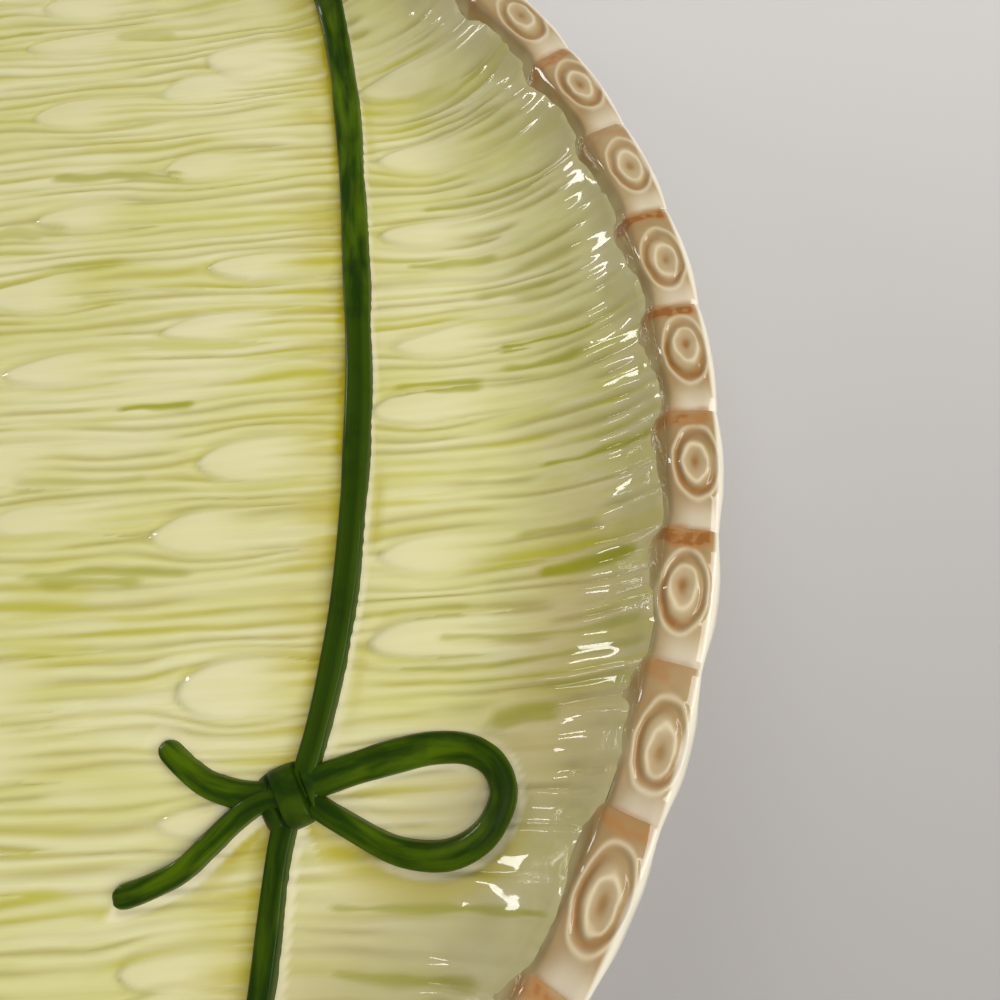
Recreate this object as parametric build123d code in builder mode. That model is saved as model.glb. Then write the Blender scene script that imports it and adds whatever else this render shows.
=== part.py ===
# Round earthenware serving plate modelled as a bed of parallel asparagus spears,
# tied across with a flat strap and a single-loop bow, all in relief.
# Sizes are in millimetres. The origin is the centre of the resting plane, +Z is up,
# +X runs to the cut ends of the spears and -X to their tips.
import os
from math import asin, cos, degrees, hypot, pi, radians, sin, sqrt

from build123d import *

os.makedirs("parts", exist_ok=True)

# Dish
plate_radius = 155.0
floor_thickness = 4.5
wall_radius = 36.0
wall_angle = 51.0
lip_height = 3.0
lip_bead = 3.4
lip_drop = 0.8
lip_round = 1.2
notch_radius = 7.0
notch_depth = 1.0

# Foot
foot_height = 5.0
foot_radius = 92.0
foot_width = 7.0
foot_round = 1.2

# Spears laid side by side
stalk_count = 15
stalk_crest = 3.5
stalk_edge = 1.6
groove_gap = 0.3
side_clearance = 0.7
seat_gap = 0.1
spare = 1.0

# Rim pads: cut ends on the right, tips on the left, a side spear on each flank
lip_show = 1.6
pad_width = 7.6
pad_height = 6.0
pad_gap = 1.2
pad_round = 1.7
side_angle = 71.0
ring_depth = 0.5
ring_groove = 0.6
ring_margin = 1.1
tip_point = 1.2
tip_round = 2.2

# Tie and bow
tie_width = 5.0
tie_height = 1.8
tie_inset = 2.0
knot_from_right = 71.0
knot_from_near = 92.0
knot_length = 11.0
knot_breadth = 10.0
knot_turn = 18.0
knot_height = 3.2
knot_round = 1.4
tie_upper_reach = [(0.0, 0.0), (9.2, 70.8), (-15.8, 230.0)]
tie_lower_reach = [(0.0, 0.0), (-3.8, -28.0), (-14.6, -104.0)]
loop_upper_reach = [(0.0, 0.0), (12.0, 6.6), (25.0, 7.6)]
loop_end_reach = [(25.0, 7.6), (33.4, -1.2), (24.6, -10.0)]
loop_lower_reach = [(24.6, -10.0), (13.0, -6.6), (0.0, 0.0)]
tail_upper_reach = [(0.0, 0.0), (-11.0, 1.2), (-19.6, 6.8)]
tail_lower_reach = [(0.0, 0.0), (-13.0, -6.4), (-25.6, -12.8)]

# Heights and radii that follow from the sizes above
floor_top = foot_height + floor_thickness
wall_centre_z = floor_top + wall_radius
wall_run = wall_radius * sin(radians(wall_angle))
land_z = wall_centre_z - wall_radius * cos(radians(wall_angle))
pad_outer = plate_radius - lip_show
pad_inner = pad_outer - pad_width
pad_centre = pad_inner + pad_width / 2
pad_top = land_z + pad_height
well_radius = pad_inner - wall_run
lip_inner = plate_radius - lip_bead
stalk_end = pad_inner - seat_gap
stalk_pitch = 2 * (stalk_end - side_clearance) / stalk_count
middle = (stalk_count - 1) / 2
strap_base = floor_top + stalk_crest + seat_gap
below_all = -pad_top

rim_outline = [
    (pad_inner, land_z),
    (lip_inner, land_z),
    (lip_inner, land_z + lip_height),
    (plate_radius, land_z + lip_height),
]
skirt_radius = wall_radius + floor_thickness
skirt_end = (
    well_radius + skirt_radius * sin(radians(wall_angle)),
    wall_centre_z - skirt_radius * cos(radians(wall_angle)),
)


def lift(radius, height):
    # Height above the table of a surface that lies this far off the dish, at this radius
    run = max(radius - well_radius, 0.0)
    return wall_centre_z - sqrt((wall_radius - height) ** 2 - run**2)


def rim_angle(place):
    # Angle round the rim, in degrees, of a line that many pitches from the middle spear
    if abs(place) > middle:
        return side_angle if place > 0 else -side_angle
    return degrees(asin(place * stalk_pitch / pad_centre))


def polar(radius, angle):
    return (radius * cos(radians(angle)), radius * sin(radians(angle)))


def save(shape, name):
    shape.label = name
    export_step(shape, f"parts/{name}.step")


# Dish: flat well, curved wall, flat land and a rolled lip, notched between the rim pads
with BuildPart() as dish:
    with BuildSketch(Plane.XZ):
        with BuildLine():
            Line((0, foot_height), (0, floor_top))
            Line((0, floor_top), (well_radius, floor_top))
            CenterArc((well_radius, wall_centre_z), wall_radius, -90, wall_angle)
            FilletPolyline(
                *rim_outline, (plate_radius, land_z - lip_drop), skirt_end, radius=lip_round
            )
            CenterArc((well_radius, wall_centre_z), skirt_radius, -90, wall_angle)
            Line((well_radius, foot_height), (0, foot_height))
        make_face()
    revolve(axis=Axis.Z)
    for step in range(stalk_count + 1):
        edge_angle = rim_angle(step - stalk_count / 2)
        for notch_angle in (edge_angle, 180 - edge_angle):
            with Locations(polar(plate_radius + notch_radius - notch_depth, notch_angle)):
                Cylinder(notch_radius, 4 * pad_top, mode=Mode.SUBTRACT)
save(dish.part, "dish_body")

# Foot: turned ring under the well
with BuildPart() as foot:
    with BuildSketch(Plane.XZ) as foot_profile:
        with Locations((foot_radius, foot_height / 2)):
            Rectangle(foot_width, foot_height)
        fillet(foot_profile.vertices().group_by(Axis.Z)[0], foot_round)
    revolve(axis=Axis.Z)
save(foot.part, "foot_ring")

# Everything under the upper face of the dish: trims what is laid on it to that face
with BuildPart() as bed:
    with BuildSketch(Plane.XZ):
        with BuildLine():
            Line((0, below_all), (0, floor_top))
            Line((0, floor_top), (well_radius, floor_top))
            CenterArc((well_radius, wall_centre_z), wall_radius, -90, wall_angle)
            FilletPolyline(*rim_outline, (plate_radius, below_all), radius=lip_round)
            Line((plate_radius, below_all), (0, below_all))
        make_face()
    revolve(axis=Axis.Z)


def sheet(low_level, high_level, end_radius):
    # Closed outline of a layer that follows the dish between two heights above it
    Line((0, floor_top + low_level), (0, floor_top + high_level))
    Line((0, floor_top + high_level), (well_radius, floor_top + high_level))
    ends = []
    for level in (low_level, high_level):
        wall = wall_radius - level
        climb = degrees(asin((end_radius - well_radius) / wall))
        ends.append(CenterArc((well_radius, wall_centre_z), wall, -90, climb) @ 1)
    Line(*ends)
    Line((well_radius, floor_top + low_level), (0, floor_top + low_level))


# Layer of clay that the spears are cut from
with BuildPart() as spear_layer:
    with BuildSketch(Plane.XZ):
        with BuildLine():
            sheet(0, stalk_crest + spare, stalk_end)
        make_face()
    revolve(axis=Axis.Z)


def stalk_top(place, stations=29, across=9):
    # Crowned upper face of one spear, a little larger all round than the spear itself
    rows = []
    for station in range(stations):
        along = sin(pi / 2 * (2 * station / (stations - 1) - 1))
        row = []
        for column in range(across):
            share = (2 * column / (across - 1) - 1) * (1 + 2 * groove_gap / stalk_pitch)
            y = place * stalk_pitch + share * stalk_pitch / 2
            x = along * sqrt((stalk_end + spare) ** 2 - y**2)
            height = stalk_edge + (stalk_crest - stalk_edge) * (1 - share**2)
            row.append(Vector(x, y, lift(hypot(x, y), height)))
        rows.append(row)
    return Face.make_surface_from_array_of_points(rows)


# Spears: crowned strips from the tips over the well and up to the cut ends
for number in range(stalk_count):
    place = middle - number
    with BuildPart() as stalk:
        add(spear_layer.part)
        with Locations((0, place * stalk_pitch, 0)):
            Box(2 * plate_radius, stalk_pitch - groove_gap, 4 * pad_top, mode=Mode.INTERSECT)
        extrude(stalk_top(place), amount=pad_top, dir=(0, 0, 1), mode=Mode.SUBTRACT)
    save(stalk.part, f"stalk_{number + 1:02d}")


def rim_arc(start, end, inset):
    # Middle line of a round-ended rim pad that keeps this far inside its two side lines
    trim = degrees((pad_width / 2 + inset) / pad_centre)
    return Edge.make_circle(pad_centre, start_angle=start + trim, end_angle=end - trim)


# Cut ends: rounded pads with two growth rings sunk into the top
for number in range(stalk_count):
    place = middle - number
    low, high = rim_angle(place - 0.5), rim_angle(place + 0.5)
    with BuildPart() as cut_end:
        with BuildSketch(Plane.XY.offset(land_z - lip_height)):
            SlotArc(rim_arc(low, high, pad_gap / 2), pad_width)
        extrude(amount=pad_height + lip_height)
        fillet(cut_end.faces().sort_by(Axis.Z)[-1].edges(), pad_round)
        add(bed.part, mode=Mode.SUBTRACT)
        with BuildSketch(Plane.XY.offset(pad_top)):
            for ring in (1, 2):
                ring_width = pad_width / ring - 2 * ring_margin
                ring_line = rim_arc(low, high, pad_gap / 2 + (ring - 1) * pad_width / 3)
                SlotArc(ring_line, ring_width)
                SlotArc(ring_line, ring_width - 2 * ring_groove, mode=Mode.SUBTRACT)
        extrude(amount=-ring_depth, mode=Mode.SUBTRACT)
    save(cut_end.part, f"cut_end_{number + 1:02d}")

# Tips: pointed pads on the left half of the rim
for number in range(stalk_count):
    place = middle - number
    trim = degrees(pad_gap / 2 / pad_centre)
    low, high = 180 - rim_angle(place + 0.5) + trim, 180 - rim_angle(place - 0.5) - trim
    mid = (low + high) / 2
    with BuildPart() as tip:
        with BuildSketch(Plane.XY.offset(land_z - lip_height)) as tip_plan:
            with BuildLine():
                ThreePointArc(polar(pad_inner, low), polar(pad_inner, mid), polar(pad_inner, high))
                ThreePointArc(
                    polar(pad_inner, high),
                    polar(pad_outer - 2 * tip_point, high + (mid - high) / 3),
                    polar(pad_outer, mid),
                )
                ThreePointArc(
                    polar(pad_outer, mid),
                    polar(pad_outer - 2 * tip_point, low + (mid - low) / 3),
                    polar(pad_inner, low),
                )
            make_face()
            fillet(tip_plan.vertices(), tip_round)
        extrude(amount=pad_height + lip_height)
        fillet(tip.faces().sort_by(Axis.Z)[-1].edges(), pad_round)
        add(bed.part, mode=Mode.SUBTRACT)
    save(tip.part, f"spear_tip_{number + 1:02d}")

# Side spears: the two outermost spears lie along the flanks and form the rim there
for name, turn in (("side_stalk_far", 0), ("side_stalk_near", 180)):
    with BuildPart() as side:
        with BuildSketch(Plane.XY.offset(land_z - lip_height)):
            SlotArc(rim_arc(turn + side_angle, turn + 180 - side_angle, pad_gap / 2), pad_width)
        extrude(amount=pad_height + lip_height)
        fillet(side.faces().sort_by(Axis.Z)[-1].edges(), pad_round)
        add(bed.part, mode=Mode.SUBTRACT)
    save(side.part, name)

# Layer over the spears in which the straps lie
with BuildPart() as strap_layer:
    with BuildSketch(Plane.XZ):
        with BuildLine():
            sheet(stalk_crest + seat_gap, stalk_crest + tie_height, stalk_end - tie_inset)
        make_face()
    revolve(axis=Axis.Z)

# Knot: a rounded block where the strap is tied
knot_x = plate_radius - knot_from_right
knot_y = knot_from_near - plate_radius
with BuildPart() as knot:
    with BuildSketch(Plane((knot_x, knot_y, strap_base)).rotated((0, 0, knot_turn))):
        RectangleRounded(knot_length, knot_breadth, knot_length / 4)
    extrude(amount=knot_height - seat_gap)
    fillet(knot.faces().sort_by(Axis.Z)[-1].edges(), knot_round)
save(knot.part, "bow_knot")


def reach(points):
    return [(knot_x + across, knot_y + along) for across, along in points]


def strap_solid(plan, neighbours):
    # One strap cut from the layer over the spears, butting on its neighbours
    with BuildPart() as strap:
        add(strap_layer.part)
        extrude(plan, amount=2 * pad_top, mode=Mode.INTERSECT)
        add(neighbours, mode=Mode.SUBTRACT)
    return strap.part


# Straps: the tie on both sides of the knot, the loop and the two tails
with BuildSketch() as tie_upper_plan:
    with BuildLine():
        ThreePointArc(*reach(tie_upper_reach))
    trace(line_width=tie_width)
with BuildSketch() as tie_lower_plan:
    with BuildLine():
        ThreePointArc(*reach(tie_lower_reach))
    trace(line_width=tie_width)
with BuildSketch() as loop_plan:
    with BuildLine():
        ThreePointArc(*reach(loop_upper_reach))
        ThreePointArc(*reach(loop_end_reach))
        ThreePointArc(*reach(loop_lower_reach))
    trace(line_width=tie_width)
    with Locations(reach(loop_end_reach)[0], reach(loop_end_reach)[-1]):
        Circle(tie_width / 2)
with BuildSketch() as tail_upper_plan:
    with BuildLine():
        ThreePointArc(*reach(tail_upper_reach))
    trace(line_width=tie_width)
    with Locations(reach(tail_upper_reach)[-1]):
        Circle(tie_width / 2)
with BuildSketch() as tail_lower_plan:
    with BuildLine():
        ThreePointArc(*reach(tail_lower_reach))
    trace(line_width=tie_width)
    with Locations(reach(tail_lower_reach)[-1]):
        Circle(tie_width / 2)

straps = [knot.part]
for name, plan in (
    ("tie_upper", tie_upper_plan),
    ("tie_lower", tie_lower_plan),
    ("bow_loop", loop_plan),
    ("bow_tail_upper", tail_upper_plan),
    ("bow_tail_lower", tail_lower_plan),
):
    strap = strap_solid(plan.sketch, straps)
    straps.append(strap)
    save(strap, name)
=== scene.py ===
import math
import bmesh
import bpy
import numpy as np
from mathutils import Matrix, Vector


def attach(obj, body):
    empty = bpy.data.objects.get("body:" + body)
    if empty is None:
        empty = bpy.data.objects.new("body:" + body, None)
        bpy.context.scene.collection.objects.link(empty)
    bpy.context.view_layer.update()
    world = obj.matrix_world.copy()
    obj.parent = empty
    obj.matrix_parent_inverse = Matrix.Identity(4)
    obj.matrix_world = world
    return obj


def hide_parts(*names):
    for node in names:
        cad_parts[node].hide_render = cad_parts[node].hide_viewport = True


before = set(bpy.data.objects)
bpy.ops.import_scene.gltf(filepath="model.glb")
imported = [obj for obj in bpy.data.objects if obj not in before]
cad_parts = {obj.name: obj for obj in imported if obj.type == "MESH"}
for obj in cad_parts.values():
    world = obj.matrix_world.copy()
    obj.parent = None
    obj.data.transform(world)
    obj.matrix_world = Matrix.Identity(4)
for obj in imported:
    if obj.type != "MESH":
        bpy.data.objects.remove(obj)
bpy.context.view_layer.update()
print("frame loaded")

mm = 0.001
scene = bpy.context.scene

# the dish that everything lies on, in mm and degrees
plate = {
    "radius": 155.0,
    "footHeight": 5.0,
    "floorTop": 9.5,
    "thickness": 4.5,
    "wallRadius": 36.0,
    "wallAngle": 51.0,
    "wellRadius": 117.82,
    "land": 22.845,
    "lipInner": 151.6,
    "lipHeight": 3.0,
    "lipDrop": 0.8,
    "padInner": 145.8,
    "padOuter": 153.4,
    "padTop": 28.845,
    "padEdge": 143.7,
    "padEdgeNear": 144.5,
    "padEdgeMost": 144.7,
    "padEdgeRun": (1, 3.2),
    "padSaw": 1.3,
    "spearEnd": 145.7,
    "spearMargin": 0.7,
    "spears": 15,
    "sideAngle": 71.0,
    "bedded": 0.02,
}
plate["wallCentre"] = plate["floorTop"] + plate["wallRadius"]
plate["pitch"] = 2 * (plate["spearEnd"] - plate["spearMargin"]) / plate["spears"]
plate["padMiddle"] = (plate["padInner"] + plate["padOuter"]) / 2
plate["outermost"] = plate["spears"] // 2  # spears on each side of the middle one


def lift(r, h):  # height of a layer that lies h above the dish at radius r
    run = np.maximum(r - plate["wellRadius"], 0)
    return plate["wallCentre"] - np.sqrt(np.maximum((plate["wallRadius"] - h) ** 2 - run ** 2, 1))


def ease(low, high, value):  # 0 below low, 1 above high, smooth between
    share = np.clip((value - low) / (high - low), 0, 1)
    return share * share * (3 - 2 * share)


def drift(x, y, seed):  # smooth random field, -1 to 1, one bump per unit
    cells = 97
    table = np.random.RandomState(seed).uniform(-1, 1, (cells, cells))
    i, j = np.floor(x).astype(int), np.floor(y).astype(int)
    a, b = x - i, y - j
    a, b = a * a * (3 - 2 * a), b * b * (3 - 2 * b)
    i, j, nextI, nextJ = i % cells, j % cells, (i + 1) % cells, (j + 1) % cells
    near = table[i, j] * (1 - a) + table[nextI, j] * a
    far = table[i, nextJ] * (1 - a) + table[nextI, nextJ] * a
    return near * (1 - b) + far * b


def roundOff(t, power):  # 1 in the middle, falling to 0 at t of -1 and 1
    return np.power(np.clip(1 - np.power(np.abs(t), power), 0, 1), 0.5)


def rimAngle(place):  # angle round the rim of a line that many spears from the middle
    if abs(place) > (plate["spears"] - 1) / 2:
        return math.copysign(math.radians(plate["sideAngle"]), place)
    return math.asin(place * plate["pitch"] / plate["padMiddle"])


def padEdge(place):  # radius where the cut ends rise out of the wall
    along = 2 * (place - np.round(place))
    saw = plate["padSaw"] * along * (1 - np.abs(along) ** 6)
    nearer = (plate["padEdgeNear"] - plate["padEdge"]) * ease(*plate["padEdgeRun"], -place)
    return np.minimum(plate["padEdge"] + nearer - saw, plate["padEdgeMost"])


def smoothLine(points, count):  # even points on a smooth curve through the given ones
    p = np.array(points, float)
    p = np.vstack([2 * p[0] - p[1], p, 2 * p[-1] - p[-2]])
    perSpan = 24
    t = np.linspace(0, 1, perSpan, endpoint=False)[:, None]
    runs = []
    for a, b, c, d in zip(p[:-3], p[1:-2], p[2:-1], p[3:]):
        runs.append(b + 0.5 * t * (c - a + t * (2 * a - 5 * b + 4 * c - d + t * (3 * (b - c) + d - a))))
    line = np.vstack(runs + [p[-2:-1]])
    step = np.concatenate([[0], np.cumsum(np.hypot(*np.diff(line, axis=0).T))])
    even = np.linspace(0, step[-1], count)
    return np.column_stack([np.interp(even, step, line[:, k]) for k in (0, 1)]), step[-1]


# camera at the photograph's place, in mm and degrees, focal length in pixels of the image
view = {
    "place": (122.0, -60.7, 135.6),
    "pitch": 70.3,
    "yaw": 5.3,
    "roll": -9.0,
    "focal": 751.0,
    "imageWide": 1000,
    "sensor": 36.0,
}


def setCamera():
    pitch, yaw, roll = (math.radians(view[k]) for k in ("pitch", "yaw", "roll"))
    ahead = Vector((-math.sin(yaw) * math.cos(pitch), math.cos(yaw) * math.cos(pitch), -math.sin(pitch)))
    right = Vector((math.cos(yaw), math.sin(yaw), 0))
    up = right.cross(ahead)
    across = math.cos(roll) * right + math.sin(roll) * up
    above = -math.sin(roll) * right + math.cos(roll) * up
    turn = Matrix((across, above, -ahead)).transposed().to_4x4()
    data = bpy.data.cameras.new("camera")
    data.sensor_fit = "HORIZONTAL"
    data.sensor_width = view["sensor"]
    data.lens = view["focal"] / view["imageWide"] * view["sensor"]
    data.clip_start = 0.005
    data.clip_end = 50
    camera = bpy.data.objects.new("camera", data)
    camera.matrix_world = Matrix.Translation(Vector(view["place"]) * mm) @ turn
    scene.collection.objects.link(camera)
    scene.camera = camera


setCamera()
print("camera set")

# spear bed: crowns, ribs and tongue-shaped leaves, whose places are in spear pitches
bed = {
    "crest": 3.25,
    "edge": 2.55,
    "ribPitch": 2.75,
    "ribHeight": 0.46,
    "leafLift": 0.46,
    "leafCrown": 0.35,
    "leafWidth": 3.9,
    "leafNose": 12.0,
    "leafFade": (9, 36),
    "leafSmooth": (9, 24),
    "leafNear": 14,
    "narrowPast": 110,
    "wallStart": (112, 128),
    "lumps": ((0.2, 5, 3, 17), (0.4, 22, 4.4, 18), (0.5, 13, 8, 19)),
    "bedReach": 7.45,
    "photoRows": 4,
    "outerStart": 5.0,
    "innerStart": 0.95,
    "under": 0.05,
    "grain": 0.85,
    "rows": 58,
    "leaves": [
        (4.85, 4.1), (2.48, 4.41), (4.95, 3.1), (2.62, 3.28), (4.97, 2.12), (3.2, 1.85), (5.12, 0.8),
        (2.85, 1.17), (4.97, 0.11), (3.28, -0.33), (5.02, -1.32), (2.92, -0.98), (4.93, -2.06),
        (3.32, -2.38), (5.95, -2.83), (3.17, -3.45), (3.0, -4.45),
    ],
}


def allLeaves():  # the listed leaves, and more in rows where the photo shows none
    rng = np.random.RandomState(5)
    leaves = list(bed["leaves"])
    for place in range(-plate["outermost"], plate["outermost"] + 1):
        reach = math.sqrt(max(bed["bedReach"] ** 2 - (abs(place) + 0.4) ** 2, 0.3))
        if abs(place) > bed["photoRows"]:
            x = bed["outerStart"] + rng.uniform(-0.2, 0.2)
        else:
            x = bed["innerStart"] + 0.3 * (place % 2) + rng.uniform(-0.15, 0.15)
        side = 1 if rng.uniform() > 0.5 else -1
        while x > -reach + 0.6:
            if x < reach - 1.2:
                leaves.append((x, place + side * rng.uniform(0.05, 0.3)))
            x -= rng.uniform(1.8, 2.25)
            side = -side
    return leaves


leafPlaces = np.array(allLeaves()) * plate["pitch"]

# green tie and bow laid over the spears; the lines are in mm, seen from above
bow = {
    "width": 5.0,
    "seat": 3.4,
    "sunk": 0.5,
    "height": 1.35,
    "under": 1.4,
    "round": 2.4,
    "points": 240,
    "grain": 0.45,
    "rows": 26,
    "knot": (83.0, -63.0),
    "tieUpper": [(82.0, 119.5), (85.7, 105.0), (87.4, 96.4), (89.8, 75.7), (91.6, 49.0), (92.6, 25.0),
                 (93.0, 7.8), (92.5, -10.0), (91.4, -26.3), (89.8, -39.6), (86.9, -53.5), (84.4, -62.0)],
    "tieLower": [(83.2, -63.0), (81.6, -70.4), (80.6, -80.0), (79.7, -89.5), (77.9, -103.0), (74.6, -121.0)],
    "loop": [(84.8, -61.6), (91.7, -59.8), (98.5, -58.2), (105.0, -57.2), (110.8, -57.7), (114.7, -60.1),
             (116.0, -64.2), (114.1, -68.4), (111.2, -70.9), (107.2, -72.3), (102.5, -72.2), (97.9, -70.9),
             (92.6, -68.0), (86.6, -64.4)],
    "tailUpper": [(83.4, -62.6), (79.0, -62.8), (74.8, -62.3), (70.0, -60.6), (66.0, -57.7), (62.0, -53.9)],
    "tailLower": [(83.4, -62.9), (78.4, -63.6), (74.3, -66.1), (70.7, -69.2), (67.0, -72.4), (62.9, -74.3),
                  (59.0, -75.5), (56.5, -75.9)],
}
strapKeys = ("tieUpper", "tieLower", "loop", "tailUpper", "tailLower")
strapCurves = {key: smoothLine(bow[key], bow["points"]) for key in strapKeys}
strapLines = {key: curve[0] for key, curve in strapCurves.items()}


def strapField(x, y, keys):  # distance to the nearest strap's edge and the direction away from it
    line = np.vstack([strapLines[key] for key in keys])
    line = line[(line[:, 1] > y.min() - 20) & (line[:, 1] < y.max() + 20)]
    far = np.full(x.shape, 1e3)
    ux, uy = np.zeros_like(x), np.zeros_like(x)
    for px, py in line:
        dx, dy = x - px, y - py
        gap = np.hypot(dx, dy)
        nearer = gap < far
        far = np.where(nearer, gap, far)
        ux = np.where(nearer, dx / np.maximum(gap, 1e-3), ux)
        uy = np.where(nearer, dy / np.maximum(gap, 1e-3), uy)
    return far - bow["width"] / 2, ux, uy


def spearCrown(t):  # height across one spear, t from -1 to 1
    return bed["edge"] + (bed["crest"] - bed["edge"]) * (0.5 + 0.5 * np.cos(math.pi * t))


def spearRelief(x, y):  # height over the dish, depth in a groove, share of leaf, and rib line
    s = plate["pitch"]
    height = spearCrown((y / s - np.clip(np.round(y / s), -plate["outermost"], plate["outermost"])) * 2)
    leafUp, dip, smoothLeaf, calm, push = (np.zeros_like(x) for _ in range(5))
    wx, wy = x + 1.6 * drift(x / 15, y / 8, 21), y + 0.9 * drift(x / 13, y / 6, 22)  # bends the leaves
    for number, (lx, ly) in enumerate(leafPlaces):
        if ly < y.min() - bed["leafNear"] or ly > y.max() + bed["leafNear"]:
            continue
        rng = np.random.RandomState(100 + number)
        width = bed["leafWidth"] * rng.uniform(0.75, 1.2)
        nose = bed["leafNose"] * rng.uniform(0.75, 1.45)
        if lx > bed["narrowPast"]:
            width, nose = width * 0.5, nose * 0.6
        soft, lean = rng.uniform(0.5, 1.0), rng.uniform(-0.4, 0.4)
        along = wx - lx
        across = wy - ly - 0.035 * np.clip(along, 0, 40) * rng.uniform(-1, 1)
        share = np.clip(along / nose, 0, 1)
        half = width * np.power(np.clip(1 - (1 - share) ** 2, 0, 1), 0.53)
        inside = np.where(along > 0, half - np.abs(across), -np.hypot(along, across))
        fade = soft * (1 - ease(*bed["leafFade"], along))
        fade = np.where(along < -4, 0, fade)
        body = ease(-0.45, 0.75, inside) * fade * (1 + lean * np.tanh(across / 1.5))
        crown = np.clip(1 - (across / width) ** 2, 0, 1) * ease(-0.5, 3, inside) * fade
        leafUp = np.maximum(leafUp, bed["leafLift"] * body + bed["leafCrown"] * crown)
        moat = np.exp(-((inside + 0.8) / 0.9) ** 2) * fade * ease(-4, 0, along)
        dip = np.maximum(dip, moat * (1 + 0.5 * np.tanh(across)))
        smooth = 1 - ease(*bed["leafSmooth"], along)
        smoothLeaf = np.maximum(smoothLeaf, ease(-0.2, 0.7, inside) * smooth)
        calm = np.maximum(calm, ease(-1.5, 0.1, inside) * smooth)
        squeeze = np.clip(1 - np.abs(across) / 10, 0, 1) * width * ease(-7, nose, along)
        squeeze = squeeze * (1 - ease(*bed["leafFade"], along))
        push = push - across / np.hypot(across, 1.2) * np.where(inside < 0, squeeze, 0)
    # ribs run round the leaves, come and go along their length and fade before the cut ends
    ribs = 1 - calm
    q = y + push + 0.9 * drift(x / 26, y / 7, 11) + 0.3 * drift(x / 9, y / 3, 12)
    q = q + 0.55 * drift(x / 60, q / 2.6, 13)
    wave = np.power(0.5 - 0.5 * np.cos(2 * math.pi * q / bed["ribPitch"]), 0.7)
    strong = 0.3 + 0.7 * ease(-0.45, 0.35, drift(x / 17, q / 2.1, 14))
    wall = ease(*bed["wallStart"], np.hypot(x, y))
    uneven = 0.15 + 1.05 * ease(-0.3, 0.5, drift(x / 10, q / 2.4, 16))
    past = np.where(x > 0, np.hypot(x, y) - padEdge(y / s), -9)
    strong = (strong * (1 - wall) + uneven * wall) * (1 - 0.8 * ease(-6, -0.5, past))
    rib = bed["ribHeight"] * ribs * strong
    height = height + leafUp + rib * (wave - 0.62) - 0.2 * dip
    height = height + 0.16 * drift(x / 12, y / 5, 15)
    lumps = sum(deep * drift(x / long, y / wide, seed) for deep, long, wide, seed in bed["lumps"])
    height = height + wall * lumps * (1 - ease(-5, -0.5, past)) - 1.2 * ease(0.6, 2.2, past)
    pool = np.clip(ribs * strong * np.power(1 - wave, 1.4) + 0.3 * dip, 0, 1)
    return height, pool, smoothLeaf, q


print("relief ready,", len(leafPlaces), "leaves")


def slab(columns, rows):  # closed slab: grid below at z 0, grid above at z 1
    bm = bmesh.new()
    bmesh.ops.create_grid(bm, x_segments=columns, y_segments=rows, size=1)
    grown = bmesh.ops.extrude_face_region(bm, geom=bm.faces[:])
    above = [part for part in grown["geom"] if isinstance(part, bmesh.types.BMVert)]
    bmesh.ops.translate(bm, vec=(0, 0, 1), verts=above)
    bmesh.ops.recalc_face_normals(bm, faces=bm.faces)
    return bm


def toPiece(name, bm):  # frees the bmesh
    mesh = bpy.data.meshes.new(name)
    bm.to_mesh(mesh)
    bm.free()
    mesh.shade_smooth()
    piece = bpy.data.objects.new(name, mesh)
    scene.collection.objects.link(piece)
    return piece


def readPoints(mesh):  # one row per point
    flat = np.empty(len(mesh.vertices) * 3, np.float32)
    mesh.vertices.foreach_get("co", flat)
    return flat.reshape(-1, 3).astype(float)


def shapePiece(piece, x, y, z, paints):  # moves the points and stores the painted fields
    mesh = piece.data
    mesh.vertices.foreach_set("co", (np.column_stack([x, y, z]) * mm).astype(np.float32).ravel())
    for key, values in paints.items():
        field = mesh.attributes.new(key, "FLOAT", "POINT")
        field.data.foreach_set("value", np.clip(values, -10, 10).astype(np.float32))
    mesh.update()
    mesh.set_sharp_from_angle(angle=math.radians(55))


def place(piece, node, slotName, material):  # hands the piece to the frame
    piece.data.materials.append(material)
    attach(piece, "root")
    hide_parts(node)


def srgb(r, g, b):  # screen colour, 0 to 255, as linear light
    light = [((c / 255 + 0.055) / 1.055) ** 2.4 if c > 10 else c / 255 / 12.92 for c in (r, g, b)]
    return tuple(light) + (1.0,)


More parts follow.
